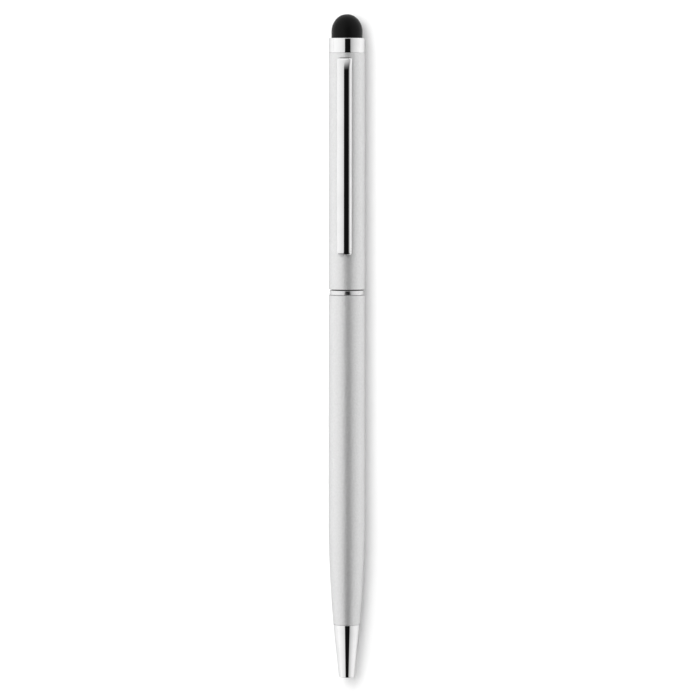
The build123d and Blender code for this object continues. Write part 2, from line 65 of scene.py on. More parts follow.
TURN_SEGMENTS = 240
TURN_PATH_R = 1 * MM
TURN_MERGE = 0.001 * MM
SHARP_ANGLE = radians(40)
ROUND_STEPS = 6


def linear(code):
    """An sRGB hex colour as linear red, green, blue and alpha."""
    channels = [int(code[place : place + 2], 16) / 255 for place in (1, 3, 5)]
    return [c / 12.92 if c <= 0.04045 else ((c + 0.055) / 1.055) ** 2.4 for c in channels] + [1.0]


def add(tree, kind, inputs=None, stops=(), **settings):
    """Add a node with its settings, its inputs as values or links, and the stops of its ramp."""
    node = tree.nodes.new(kind)
    for name, value in settings.items():
        setattr(node, name, value)
    for name, value in (inputs or {}).items():
        if isinstance(value, bpy.types.NodeSocket):
            tree.links.new(value, node.inputs[name])
        else:
            node.inputs[name].default_value = value
    for place, _ in stops[2:]:
        node.color_ramp.elements.new(place)
    for index, (place, colour) in enumerate(stops):
        node.color_ramp.elements[index].position = place
        node.color_ramp.elements[index].color = colour
    return node


def new_material(name, **sockets):
    """A material, its node tree, its surface shader with fixed sockets set, and its coordinates."""
    material = bpy.data.materials.new(name)
    material.use_nodes = True
    tree = material.node_tree
    shader = tree.nodes["Principled BSDF"]
    for socket, value in sockets.items():
        shader.inputs[socket.replace("_", " ")].default_value = value
    place = add(tree, "ShaderNodeTexCoord").outputs["Object"]
    return material, tree, shader, place


def tint_and_gloss(tree, shader, pattern, stops, roughness):
    """Let a pattern set a shader's colour, by ramp stops, and its roughness between two values."""
    tint = add(tree, "ShaderNodeValToRGB", {"Fac": pattern}, stops=stops)
    gloss = add(
        tree,
        "ShaderNodeMapRange",
        {"Value": pattern, "To Min": roughness[0], "To Max": roughness[1]},
    )
    tree.links.new(tint.outputs["Color"], shader.inputs["Base Color"])
    tree.links.new(gloss.outputs["Result"], shader.inputs["Roughness"])


def bright_chrome(name, light, dark, smear, sharpest, dullest):
    """Bright chromium over a polished piece: a near mirror, neutral in colour, with a faint haze of
    handling that makes some patches less sharp than others."""
    material, tree, shader, place = new_material(
        name, Metallic=1.0, Specular_Tint=linear("#CECECE")
    )
    haze = add(tree, "ShaderNodeTexNoise", {"Vector": place, "Scale": 1 / smear, "Detail": 4.0})
    stops = ((0.35, linear(light)), (0.7, linear(dark)))
    tint_and_gloss(tree, shader, haze.outputs["Fac"], stops, (sharpest, dullest))
    return material


def outline(*corners):
    """Points of a half section from (radius, y, rounding) corners.

    A rounding becomes an arc with one more point just outside each of its ends, so that its smooth
    shading stays off the long straight runs beside it.
    """
    points = []
    for index, (radius, y, rounding) in enumerate(corners):
        corner = Vector((radius, y))
        if not rounding:
            points.append(corner)
            continue
        side_back = Vector(corners[index - 1][:2]) - corner
        side_ahead = Vector(corners[(index + 1) % len(corners)][:2]) - corner
        back = side_back.normalized()
        ahead = side_ahead.normalized()
        half_angle = back.angle(ahead) / 2
        reach = rounding / tan(half_angle)
        centre = corner + (back + ahead).normalized() * rounding / sin(half_angle)
        spoke = corner + back * reach - centre
        sweep = (pi - 2 * half_angle) * (1 if back.cross(ahead) < 0 else -1)
        points.append(corner + back * (reach + min(reach / 2, (side_back.length - reach) / 3)))
        for step in range(ROUND_STEPS + 1):
            points.append(centre + Matrix.Rotation(sweep * step / ROUND_STEPS, 2) @ spoke)
        points.append(corner + ahead * (reach + min(reach / 2, (side_ahead.length - reach) / 3)))
    return points


# The tree that turns a half section, drawn as edges in its radius and y, about the pen's axis, by
# sweeping it round a small circle
turning = bpy.data.node_groups.new("turning", "GeometryNodeTree")
turning.interface.new_socket("Half section", in_out="INPUT", socket_type="NodeSocketGeometry")
turning.interface.new_socket("Segments", in_out="INPUT", socket_type="NodeSocketInt")
turning.interface.new_socket("Axis height", in_out="INPUT", socket_type="NodeSocketVector")
turning.interface.new_socket("Finish", in_out="INPUT", socket_type="NodeSocketMaterial")
turning.interface.new_socket("Piece", in_out="OUTPUT", socket_type="NodeSocketGeometry")
given = add(turning, "NodeGroupInput").outputs
drawn = add(turning, "GeometryNodeMeshToCurve", {"Mesh": given["Half section"]})
section = add(
    turning,
    "GeometryNodeTransform",
    {"Geometry": drawn.outputs["Curve"], "Translation": (-TURN_PATH_R, 0, 0)},
)
circle = add(
    turning,
    "GeometryNodeCurvePrimitiveCircle",
    {"Resolution": given["Segments"], "Radius": TURN_PATH_R},
)
turned = add(
    turning,
    "GeometryNodeCurveToMesh",
    {"Curve": circle.outputs["Curve"], "Profile Curve": section.outputs["Geometry"]},
)
laid = add(
    turning,
    "GeometryNodeTransform",
    {
        "Geometry": turned.outputs["Mesh"],
        "Translation": given["Axis height"],
        "Rotation": (pi / 2, 0, 0),
    },
)
joined = add(
    turning,
    "GeometryNodeMergeByDistance",
    {"Geometry": laid.outputs["Geometry"], "Distance": TURN_MERGE},
)
smooth = add(turning, "GeometryNodeSetShadeSmooth", {"Geometry": joined.outputs["Geometry"]})
corner_angle = add(turning, "GeometryNodeInputMeshEdgeAngle")
is_sharp = add(
    turning,
    "FunctionNodeCompare",
    {0: corner_angle.outputs["Unsigned Angle"], 1: SHARP_ANGLE},
    operation="GREATER_THAN",
)
edged = add(
    turning,
    "GeometryNodeSetShadeSmooth",
    {
        "Geometry": smooth.outputs["Geometry"],
        "Selection": is_sharp.outputs["Result"],
        "Shade Smooth": False,
    },
    domain="EDGE",
)
realised = add(turning, "GeometryNodeRealizeInstances", {"Geometry": edged.outputs["Geometry"]})
finished = add(
    turning,
    "GeometryNodeSetMaterial",
    {"Geometry": realised.outputs["Geometry"], "Material": given["Finish"]},
)
add(turning, "NodeGroupOutput", {"Piece": finished.outputs["Geometry"]})


def in_scene(name, data):
    """A new object in the scene that holds a mesh, a lamp or a camera."""
    thing = bpy.data.objects.new(name, data)
    bpy.context.scene.collection.objects.link(thing)
    return thing


def make_plain(piece):
    """Turn what a piece's modifiers make into its own plain mesh."""
    evaluated = piece.evaluated_get(bpy.context.evaluated_depsgraph_get())
    piece.data = bpy.data.meshes.new_from_object(evaluated)
    piece.modifiers.clear()
    return piece


def turn(name, points, finish, closed=True):
    """Turn a half section of (radius, y) points, listed up the outside and back down the bore.

    One that isn't closed starts and ends on the pen's axis.
    """
    count = len(points)
    edges = [(index, (index + 1) % count) for index in range(count if closed else count - 1)]
    half_section = bpy.data.meshes.new(name)
    half_section.from_pydata([(*point, 0) for point in points], edges, [])
    piece = in_scene(name, half_section)
    modifier = piece.modifiers.new("turning", "NODES")
    modifier.node_group = turning
    values = {"Segments": TURN_SEGMENTS, "Axis height": (0, 0, AXIS_Z), "Finish": finish}
    for socket, value in values.items():
        modifier[turning.interface.items_tree[socket].identifier] = value
    return make_plain(piece)


plated_brass = bright_chrome(
    "bright_chrome_on_brass", "#E9E9E9", "#E4E4E4", smear=3 * MM, sharpest=0.02, dullest=0.06
)
nose = turn(
    "nose_cone_plated",
    outline(
        (NOSE_POINT_BORE_R, nose_low.y, 0),
        (NOSE_MOUTH_R, nose_low.y, NOSE_LIP),
        (nose_base_r, nose_base, NOSE_EDGE),
        (NOSE_SPIGOT_R, nose_base, 0),
        (NOSE_SPIGOT_R, nose_high.y, 0),
        (NOSE_BORE_R, nose_high.y, 0),
        (NOSE_BORE_R, nose_low.y + NOSE_BORE_STEP, 0),
        (NOSE_POINT_BORE_R, nose_low.y + NOSE_BORE_STEP - (NOSE_BORE_R - NOSE_POINT_BORE_R), 0),
    ),
    plated_brass,
)
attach(nose, "lower_half")
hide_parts("nose_cone")

# Lower barrel: a drawn aluminium tube, swaged to a long curve at the front and sprayed with satin
# silver lacquer. It carries the nose cone, the centre ring and the housing of the mechanism.
barrel_low, barrel_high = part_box("lower_barrel")
barrel_r = (barrel_high.x - barrel_low.x) / 2
BARREL_WALL = 0.5 * MM
BARREL_EDGE = 0.1 * MM
TAPER_LENGTH = 22.6 * MM
TAPER_STEPS = 40
FRONT_BORE_ROOM = 0.5 * MM
FLAKE_SPREAD = 0.04
FLAKE_RELIEF = 0.05 * MM
bore_r = barrel_r - BARREL_WALL
front_bore_r = nose_base_r - BARREL_WALL
front_bore_top = nose_high.y + FRONT_BORE_ROOM
taper_top = nose_base + TAPER_LENGTH


def taper_radius(share):
    """Radius at a share of the taper, from its top: a parabola that leaves the tube straight."""
    return barrel_r - (barrel_r - nose_base_r) * share**2


def satin_lacquer(name, flake_light, flake_dark, flake, roughness):
    """Sprayed lacquer with aluminium flake: a soft bright metal whose reflections are spread wide,
    partly milky from the binder, with a grain that is drawn coarser than the flake so that it
    shows."""
    material, tree, shader, place = new_material(
        name, Metallic=0.8, Specular_Tint=linear("#C8C8C8")
    )
    grain = add(tree, "ShaderNodeTexNoise", {"Vector": place, "Scale": 1 / flake, "Detail": 2.0})
    stops = ((0.3, linear(flake_dark)), (0.7, linear(flake_light)))
    spread = (roughness - FLAKE_SPREAD, roughness + FLAKE_SPREAD)
    tint_and_gloss(tree, shader, grain.outputs["Fac"], stops, spread)
    relief = add(
        tree,
        "ShaderNodeBump",
        {"Height": grain.outputs["Fac"], "Strength": 1.0, "Distance": FLAKE_RELIEF},
    )
    tree.links.new(relief.outputs["Normal"], shader.inputs["Normal"])
    return material


silver_lacquer = satin_lacquer(
    "satin_silver_lacquer", "#DFDFDF", "#D8D8D8", flake=0.45 * MM, roughness=0.45
)
taper = [
    (taper_radius(1 - k / TAPER_STEPS), nose_base + TAPER_LENGTH * k / TAPER_STEPS, 0)
    for k in range(1, TAPER_STEPS + 1)
]
lower_barrel = turn(
    "lower_barrel_lacquered",
    outline(
        (front_bore_r, nose_base, 0),
        (nose_base_r, nose_base, BARREL_EDGE),
        *taper,
        (barrel_r, barrel_high.y, BARREL_EDGE),
        (bore_r, barrel_high.y, 0),
        (bore_r, taper_top, 0),
        (front_bore_r, front_bore_top, 0),
    ),
    silver_lacquer,
)
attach(lower_barrel, "lower_half")
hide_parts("lower_barrel")

# Centre ring: a narrow band of plated brass, pushed onto the housing against the lower barrel and
# standing a little below the lacquer. The open joint above it is where the barrels turn.
ring_low, ring_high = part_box("centre_ring")
ring_r = (ring_high.x - ring_low.x) / 2
RING_ROUND = 0.2 * MM
satin_chrome = bright_chrome(
    "satin_chrome_on_brass", "#DDDDDD", "#D8D8D8", smear=1 * MM, sharpest=0.18, dullest=0.22
)
ring = turn(
    "centre_ring_plated",
    outline(
        (bore_r, ring_low.y, 0),
        (ring_r, ring_low.y, RING_ROUND),
        (ring_r, ring_high.y, RING_ROUND),
        (bore_r, ring_high.y, 0),
    ),
    satin_chrome,
)
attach(ring, "lower_half")
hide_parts("centre_ring")

# Twist mechanism: a turned brass housing in the lower barrel, a moulded cam tube held in it by a
# steel snap ring, and a moulded bush that joins the cam's drive head to the upper barrel.
WAVE_PACE = 20  # radians that a wave pattern turns through in each unit at a scale of one
MARK_DULLING = 0.06
MOTTLE_SPREAD = 0.05


def coat(material, *nodes):
    """Give CAD nodes one material."""
    for node in nodes:
        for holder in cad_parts[node].material_slots:
            holder.material = material


def turned_metal(name, light, dark, feed, roughness):
    """Metal as it leaves the lathe: fine rings of tool marks across a dull shine."""
    material, tree, shader, place = new_material(name, Metallic=1.0)
    marks = add(
        tree,
        "ShaderNodeTexWave",
        {"Vector": place, "Scale": 2 * pi / (WAVE_PACE * feed), "Distortion": 0.6, "Detail": 1.0},
        wave_type="BANDS",
        bands_direction="Y",
    )
    stops = ((0.1, linear(dark)), (0.9, linear(light)))
    tint_and_gloss(tree, shader, marks.outputs["Fac"], stops, (roughness + MARK_DULLING, roughness))
    return material


def moulded(name, light, dark, mottle, roughness):
    """Moulded acetal: even colour with a faint mottle and a soft waxy shine."""
    material, tree, shader, place = new_material(name, IOR=1.48)
    cloud = add(tree, "ShaderNodeTexNoise", {"Vector": place, "Scale": 1 / mottle, "Detail": 3.0})
    stops = ((0.3, linear(dark)), (0.7, linear(light)))
    spread = (roughness - MOTTLE_SPREAD, roughness + MOTTLE_SPREAD)
    tint_and_gloss(tree, shader, cloud.outputs["Fac"], stops, spread)
    return material


turned_brass = turned_metal("turned_brass", "#D9B765", "#C59F4C", feed=0.12 * MM, roughness=0.26)
# Darker brass for the clip plug: painted shade, standing in for the shade in the clip's slot, where
# the plug shows beside the neck.
brass_painted_slot_shade = turned_metal("brass_darkened_as_slot_shade", "#8C8473", "#786F60", feed=0.12 * MM, roughness=0.34)
# Near black brass for the housing: painted shade, standing in for the shade in the narrow open joint
# above the centre ring, where the housing shows.
blackened_brass = turned_metal(
    "blackened_brass", "#35322E", "#262421", feed=0.12 * MM, roughness=0.4
)
bright_steel = turned_metal("bright_steel", "#C9CACC", "#B4B6B9", feed=0.08 * MM, roughness=0.24)
black_acetal = moulded("black_acetal", "#191A1B", "#101112", mottle=0.8 * MM, roughness=0.38)
white_acetal = moulded("white_acetal", "#EDEAE2", "#E2DED3", mottle=0.8 * MM, roughness=0.42)
# Painted shade: the housing is coloured near black so that the open joint reads dark.
coat(blackened_brass, "mechanism_housing")
coat(black_acetal, "cam_tube")
coat(bright_steel, "snap_ring")
coat(white_acetal, "upper_bush")

# Refill: a brass ink tube between a turned nickel silver point and a moulded plug, screwed into the
# carrier whose steel pin runs in the cam. A carbide ball turns in the point and lays the ink.
point_low, point_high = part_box("refill_point")
ball_low, ball_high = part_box("writing_ball")
tube_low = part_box("refill_tube")[0]
point_collar_r = (point_high.x - point_low.x) / 2
ball_r = (ball_high.x - ball_low.x) / 2
ball_y = (ball_high.y + ball_low.y) / 2
POINT_R = 1.15 * MM
POINT_RIM_R = 0.65 * MM
POINT_TAPER = 2.4 * MM
POINT_COLLAR = 0.8 * MM
POINT_EDGE = 0.06 * MM
POINT_SHANK_R = 1.18 * MM
POINT_INK_HOLE_R = 0.3 * MM
SOCKET_GAP = 0.02 * MM
SOCKET_STEPS = 10
BALL_STEPS = 36
WET_ROUGHNESS = 0.12


def oily(name, thin, thick, streak, ior):
    """A thick liquid behind a wall: deep colour with slow streaks and a wet shine."""
    material, tree, shader, place = new_material(name, IOR=ior, Roughness=WET_ROUGHNESS)
    flow = add(
        tree,
        "ShaderNodeTexNoise",
        {"Vector": place, "Scale": 1 / streak, "Detail": 2.0, "Distortion": 1.2},
    )
    tint = add(
        tree,
        "ShaderNodeValToRGB",
        {"Fac": flow.outputs["Fac"]},
        stops=((0.35, linear(thick)), (0.65, linear(thin))),
    )
    tree.links.new(tint.outputs["Color"], shader.inputs["Base Color"])
    return material


nickel_silver = turned_metal(
    "turned_nickel_silver", "#D6D0C2", "#C3BCAC", feed=0.08 * MM, roughness=0.2
)
carbide = turned_metal(
    "ground_tungsten_carbide", "#8C8D90", "#7C7D80", feed=0.03 * MM, roughness=0.1
)
blue_ink = oily("blue_ballpoint_ink", "#1A2C86", "#101C5C", streak=1.5 * MM, ior=1.4)
grease = oily("follower_grease", "#DCCB93", "#C9B375", streak=1 * MM, ior=1.47)
socket_r = ball_r + SOCKET_GAP
socket_edge = asin((ball_y - point_low.y) / socket_r)
socket_floor = asin(sqrt(1 - (POINT_INK_HOLE_R / socket_r) ** 2))
socket = [
    (socket_r * cos(a), ball_y + socket_r * sin(a), 0)
    for a in (
        socket_floor - (socket_floor + socket_edge) * k / SOCKET_STEPS
        for k in range(SOCKET_STEPS + 1)
    )
]
point = turn(
    "refill_point_turned",
    outline(
        (POINT_RIM_R, point_low.y, POINT_EDGE / 2),
        (POINT_R, point_low.y + POINT_TAPER, POINT_EDGE),
        (POINT_R, tube_low.y - POINT_COLLAR, 0),
        (point_collar_r, tube_low.y - POINT_COLLAR, POINT_EDGE),
        (point_collar_r, tube_low.y, 0),
        (POINT_SHANK_R, tube_low.y, 0),
        (POINT_SHANK_R, point_high.y, 0),
        (POINT_INK_HOLE_R, point_high.y, 0),
        *socket,
    ),
    nickel_silver,
)
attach(point, "refill")
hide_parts("refill_point")
ball = turn(
    "writing_ball_ground",
    [
        (ball_r * sin(a), ball_y - ball_r * cos(a))
        for a in (pi * k / BALL_STEPS for k in range(BALL_STEPS + 1))
    ],
    carbide,
    closed=False,
)
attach(ball, "ball")
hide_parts("writing_ball")
coat(turned_brass, "refill_tube")
coat(white_acetal, "refill_carrier", "refill_plug")
coat(bright_steel, "carrier_pin")
coat(blue_ink, "ink_column")
coat(grease, "ink_follower")

# Upper barrel: the same lacquered tube, straight, with a slot punched through near the stylus end
# for the clip. It is glued to the bush and turns against the ring.
upper_low, upper_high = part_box("upper_barrel")
clip_low, clip_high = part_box("clip")
CLIP_STRIP = 0.5 * MM
CLIP_NECK_WIDTH = 2.1 * MM
FLEX_GAP = 0.12 * MM
SLOT_GAP = 0.07 * MM
SLOT_CORNER = 0.18 * MM
SLOT_RELIEF = 0.6 * MM
slot_top = clip_high.y + SLOT_GAP
slot_base = clip_high.y - CLIP_STRIP - FLEX_GAP
slot_half = CLIP_NECK_WIDTH / 2 + FLEX_GAP
upper_barrel = turn(
    "upper_barrel_lacquered",
    outline(
        (bore_r, upper_low.y, 0),
        (barrel_r, upper_low.y, BARREL_EDGE),
        (barrel_r, slot_base - SLOT_RELIEF, 0),
        (barrel_r, slot_top + SLOT_RELIEF / 2, 0),
        (barrel_r, upper_high.y, BARREL_EDGE),
        (bore_r, upper_high.y, 0),
        (bore_r, slot_top + SLOT_RELIEF / 2, 0),
        (bore_r, slot_base - SLOT_RELIEF, 0),
    ),
    silver_lacquer,
)
punch_outline = outline(
    (-slot_half, slot_base, SLOT_CORNER),
    (slot_half, slot_base, SLOT_CORNER),
    (slot_half, slot_top, SLOT_CORNER),
    (-slot_half, slot_top, SLOT_CORNER),
)
rim = len(punch_outline)
punch_mesh = bpy.data.meshes.new("slot_punch")
punch_mesh.from_pydata(
    [(x, y, AXIS_Z) for x, y in punch_outline] + [(x, y, clip_high.z) for x, y in punch_outline],
    [],
    [tuple(reversed(range(rim))), tuple(range(rim, 2 * rim))]
    + [(k, (k + 1) % rim, rim + (k + 1) % rim, rim + k) for k in range(rim)],
)
punch = in_scene("slot_punch", punch_mesh)
punched = upper_barrel.modifiers.new("slot", "BOOLEAN")
punched.object = punch
punched.operation = "DIFFERENCE"
punched.solver = "EXACT"
facets = upper_barrel.modifiers.new("facets", "TRIANGULATE")
facets.min_vertices = 5
make_plain(upper_barrel)
bpy.data.objects.remove(punch)
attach(upper_barrel, "upper_half")
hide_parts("upper_barrel")

# Clip: one strip of spring steel, blanked with a narrow neck, pressed to a crown along its length,
# bent over at the root and in at the tip, and chromed. The neck goes through the slot into a tang
# that a turned brass plug holds.
CLIP_CROWN_R = 3.3 * MM
CLIP_SHOULDER = 2.8 * MM
CLIP_SHOULDER_STEP = 0.2 * MM
CLIP_TIP_BEND = 0.55 * MM
CLIP_HOOK_BEND = 0.7 * MM
CLIP_TANG_LENGTH = 4.4 * MM
CLIP_FOOT_GAP = 0.08 * MM
CLIP_TOP_EDGE = 0.4 * MM
CLIP_UNDER_EDGE = 0.06 * MM
CLIP_LEAD = 0.3 * MM
BEND_STEPS = 28
EDGE_STEPS = 10
CROWN_STEPS = 20
clip_half = (clip_high.x - clip_low.x) / 2
blank_half = CLIP_CROWN_R * asin(clip_half / CLIP_CROWN_R)
tip_y = clip_low.y
root_y = clip_high.y
tang_z = clip_low.z
arm_z = clip_high.z
foot_z = AXIS_Z + barrel_r + CLIP_FOOT_GAP
shoulder_z = AXIS_Z + barrel_r + CLIP_SHOULDER_STEP


def quarter(centre, reach, start, steps):
    """Points of a quarter turn about a centre, from a start angle in degrees."""
    angles = [radians(start + 90 * k / steps) for k in range(steps + 1)]
    return [Vector((centre[0] + reach[0] * cos(a), centre[1] + reach[1] * sin(a))) for a in angles]


hook = quarter(
    (root_y - CLIP_HOOK_BEND, tang_z + CLIP_HOOK_BEND), (CLIP_HOOK_BEND,) * 2, -90, BEND_STEPS
)
shoulder = quarter(
    (root_y - CLIP_SHOULDER, shoulder_z), (CLIP_SHOULDER, arm_z - shoulder_z), 0, BEND_STEPS
)
tip = quarter((tip_y + CLIP_TIP_BEND, arm_z - CLIP_TIP_BEND), (CLIP_TIP_BEND,) * 2, 90, BEND_STEPS)
tang_start = Vector((root_y - CLIP_TANG_LENGTH, tang_z))
foot_end = Vector((tip_y, foot_z))
lead = Vector((CLIP_LEAD, 0))
shoulder_start = len(hook) + 1
strip_line = [tang_start, *hook, *shoulder, shoulder[-1] - lead, tip[0] + lead, *tip, foot_end]


def strip_section(half):
    """Points round the flat strip, as (x, depth below the outer line), for a half width."""
    top_edge = (CLIP_TOP_EDGE, CLIP_TOP_EDGE)
    under_edge = (CLIP_UNDER_EDGE, CLIP_UNDER_EDGE)
    top = half - CLIP_TOP_EDGE
    under = half - CLIP_UNDER_EDGE
    under_depth = CLIP_STRIP - CLIP_UNDER_EDGE
    across = [2 * k / CROWN_STEPS - 1 for k in range(1, CROWN_STEPS)]
    return [
        *quarter((top, CLIP_TOP_EDGE), top_edge, -90, EDGE_STEPS),
        *quarter((under, under_depth), under_edge, 0, EDGE_STEPS),
        *[Vector((-under * share, CLIP_STRIP)) for share in across],
        *quarter((-under, under_depth), under_edge, 90, EDGE_STEPS),
        *quarter((-top, CLIP_TOP_EDGE), top_edge, 180, EDGE_STEPS),
        *[Vector((top * share, 0)) for share in across],
    ]


def strip_loop(index):
    """Points round the finished strip at one place of its outer line."""
    place = strip_line[index]
    along = strip_line[min(index + 1, len(strip_line) - 1)] - strip_line[max(index - 1, 0)]
    inward = Vector((-along.y, along.x)).normalized()
    if index <= shoulder_start:
        return [(x, *(place + inward * depth)) for x, depth in strip_section(CLIP_NECK_WIDTH / 2)]
    crown = (place.y - shoulder_z) / (arm_z - shoulder_z) if place.x > shoulder[-1].x else 1.0
    points = []
    for x, depth in strip_section(blank_half + (clip_half - blank_half) * crown):
        y, z = place + inward * depth
        points.append((x, y, z - crown * (CLIP_CROWN_R - sqrt(CLIP_CROWN_R**2 - x**2))))
    return points


loops = [strip_loop(index) for index in range(len(strip_line))]
loop_size = len(loops[0])
last = (len(loops) - 1) * loop_size
clip_faces = [
    (
        row * loop_size + k,
        (row + 1) * loop_size + k,
        (row + 1) * loop_size + (k + 1) % loop_size,
        row * loop_size + (k + 1) % loop_size,
    )
    for row in range(len(loops) - 1)
    for k in range(loop_size)
]
clip_faces += [tuple(range(loop_size)), tuple(reversed(range(last, last + loop_size)))]
clip_mesh = bpy.data.meshes.new("clip_chromed")
clip_mesh.from_pydata([corner for loop in loops for corner in loop], [], clip_faces)
clip_mesh.shade_smooth()
clip_mesh.set_sharp_from_angle(angle=SHARP_ANGLE)
plated_spring = bright_chrome(
    "bright_chrome_on_spring_steel", "#E9E9E9", "#E4E4E4", smear=4 * MM, sharpest=0.02, dullest=0.06
)
clip_mesh.materials.append(plated_spring)
clip = in_scene("clip_chromed", clip_mesh)
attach(clip, "clip")
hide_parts("clip")
# Painted shade: the plug is coloured darker so that the gap round the clip's neck reads as shade.
coat(brass_painted_slot_shade, "clip_plug")

# Stylus end: a plated brass cup on the end of the upper barrel, and a hollow dome of conductive
# silicone rubber whose rim is held down in the cup by the head of a steel stud.
ferrule_low, ferrule_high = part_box("stylus_ferrule")
dome_low, dome_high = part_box("stylus_dome")
dome_r = (dome_high.x - dome_low.x) / 2
FERRULE_ROUND = 0.2 * MM
FERRULE_EDGE = 0.06 * MM
CUP_GAP = 0.02 * MM
STUD_HOLE_R = 1.27 * MM
DOME_TIP_INSET = 0.2 * MM
DOME_STRETCH = 0.55 * MM
DOME_WALL = 0.9 * MM
DOME_FLANGE = 0.6 * MM
DOME_HOLE_R = 1.77 * MM
DOME_FLANK_STEPS = 12
DOME_TIP_STEPS = 40
GRIT_STRENGTH = 0.2
GRIT_RELIEF = 0.02 * MM
cup_floor = dome_low.y
cup_r = dome_r + CUP_GAP
ferrule = turn(
    "stylus_ferrule_plated",
    outline(
        (STUD_HOLE_R, ferrule_low.y, 0),
        (bore_r - CUP_GAP, ferrule_low.y, 0),
        (bore_r - CUP_GAP, upper_high.y, 0),
        (barrel_r, upper_high.y, FERRULE_EDGE),
        (barrel_r, ferrule_high.y, FERRULE_ROUND),
        (cup_r, ferrule_high.y, 0),
        (cup_r, cup_floor, 0),
        (STUD_HOLE_R, cup_floor, 0),
    ),
    plated_brass,
)
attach(ferrule, "upper_half")
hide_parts("stylus_ferrule")


def silicone_rubber(name, light, dark, grain, sharpest, dullest):
    """Moulded black silicone: matt, with a fine grain that breaks up its dull sheen."""
    material, tree, shader, place = new_material(name, IOR=1.43, Specular_IOR_Level=0.15)
    grit = add(tree, "ShaderNodeTexNoise", {"Vector": place, "Scale": 1 / grain, "Detail": 3.0})
    stops = ((0.3, linear(dark)), (0.7, linear(light)))
    tint_and_gloss(tree, shader, grit.outputs["Fac"], stops, (sharpest, dullest))
    relief = add(
        tree,
        "ShaderNodeBump",
        {"Height": grit.outputs["Fac"], "Strength": GRIT_STRENGTH, "Distance": GRIT_RELIEF},
    )
    tree.links.new(relief.outputs["Normal"], shader.inputs["Normal"])
    return material


black_rubber = silicone_rubber(
    "black_silicone_rubber", "#080808", "#050505", grain=0.15 * MM, sharpest=0.36, dullest=0.46
)
tip_r = dome_r - DOME_TIP_INSET
crown_base = dome_high.y - tip_r - DOME_STRETCH
flank_r = (dome_r**2 + DOME_STRETCH**2 - tip_r**2) / (2 * DOME_TIP_INSET)
meeting = atan2(DOME_STRETCH, flank_r - dome_r)
flank = [
    (dome_r - flank_r + flank_r * cos(a), crown_base + flank_r * sin(a))
    for a in (meeting * k / DOME_FLANK_STEPS for k in range(DOME_FLANK_STEPS + 1))
]
tip_arc = [
    (tip_r * cos(a), crown_base + DOME_STRETCH + tip_r * sin(a))
    for a in (meeting + (pi / 2 - meeting) * k / DOME_TIP_STEPS for k in range(1, DOME_TIP_STEPS))
]
cavity_r = dome_r - DOME_WALL
cavity = [
    (cavity_r * cos(a), crown_base + cavity_r * sin(a))
    for a in (pi / 2 * k / DOME_FLANK_STEPS for k in range(DOME_FLANK_STEPS))
]
dome = turn(
    "stylus_dome_moulded",
    [
        (0, crown_base + cavity_r),
        *reversed(cavity),
        (cavity_r, dome_low.y + DOME_FLANGE),
        (DOME_HOLE_R, dome_low.y + DOME_FLANGE),
        (DOME_HOLE_R, dome_low.y),
        (dome_r, dome_low.y),
        *flank,
        *tip_arc,
        (0, dome_high.y),
    ],
    black_rubber,
    closed=False,
)
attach(dome, "upper_half")
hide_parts("stylus_dome")
coat(bright_steel, "stylus_stud")

# Floor: plain white board that keeps the pen's soft shadow. It adds a little of its own light, which
# only the camera, mirrors and glass see, so that it shows as white.
FLOOR_SIZE = 6.0
FLOOR_DROP = 0.02 * MM
FLOOR_GLOW = 0.085
floor_mesh = bpy.data.meshes.new("floor")
floor_half = FLOOR_SIZE / 2
floor_corners = (
    (-floor_half, -floor_half),
    (floor_half, -floor_half),
    (floor_half, floor_half),
    (-floor_half, floor_half),
)
floor_mesh.from_pydata([(x, y, -FLOOR_DROP) for x, y in floor_corners], [], [(0, 1, 2, 3)])
white_board = bpy.data.materials.new("white_board")
white_board.use_nodes = True
board = white_board.node_tree
board.nodes.clear()
ray = add(board, "ShaderNodeLightPath").outputs
camera_or_mirror = add(
    board, "ShaderNodeMath", {0: ray["Is Camera Ray"], 1: ray["Is Glossy Ray"]}, operation="MAXIMUM"
)
seen = add(
    board,
    "ShaderNodeMath",
    {0: camera_or_mirror.outputs[0], 1: ray["Is Transmission Ray"]},
    operation="MAXIMUM",
)
glow = add(board, "ShaderNodeMath", {0: seen.outputs[0], 1: FLOOR_GLOW}, operation="MULTIPLY")
shade = add(board, "ShaderNodeBsdfDiffuse", {"Color": linear("#F4F4F4")})
light = add(board, "ShaderNodeEmission", {"Strength": glow.outputs[0]})
both = add(board, "ShaderNodeAddShader", {0: shade.outputs[0], 1: light.outputs[0]})
add(board, "ShaderNodeOutputMaterial", {"Surface": both.outputs[0]})
floor_mesh.materials.append(white_board)
floor = in_scene("floor", floor_mesh)

# Light tent: white walls, brighter on the left and dark past the writing end, with a dark slit
# overhead that runs along the pen and widens towards that end. A soft lamp behind the wall, to the
# left and towards the stylus, gives the shadow.
CAMERA_LEAN = 6.8
TENT_STOPS = (
    (-180, 1.15),
    (-80, 1.2),
    (-63, 1.15),
    (-48, 1.1),
    (-35, 1.04),
    (-22, 0.92),
    (-12, 0.82),
    (24, 0.5),
    (36, 0.69),
    (49, 0.85),
    (64, 0.96),
    (79, 1.1),
    (180, 1.0),
)
SLIT_STOPS = ((-14.0, 0.0), (-12.0, 1.0), (21.6, 1.0), (23.6, 0.0))
SLIT_LENGTH_STOPS = (
    (-90, 0.5),
    (-65, 1.0),
    (7, 1.0),
    (17, 0.85),
    (27, 0.62),
    (38, 0.35),
    (54, 0.05),
)
TENT_LENGTH_STOPS = (
    (-90, 0.1),
    (-60, 0.15),
    (-40, 0.5),
    (-15, 1.0),
    (30, 1.0),
    (75, 0.95),
)
SLIT_DEPTH = 0.99
SLIT_WIDE_TILT = -20.0
SLIT_WIDE_SHARE = 0.78
LAMP_TURN = -9.2
LAMP_TILT = 16.0
LAMP_DISTANCE = 0.66
LAMP_WIDTH = 0.38
LAMP_LENGTH = 0.5
LAMP_POWER = 3.15


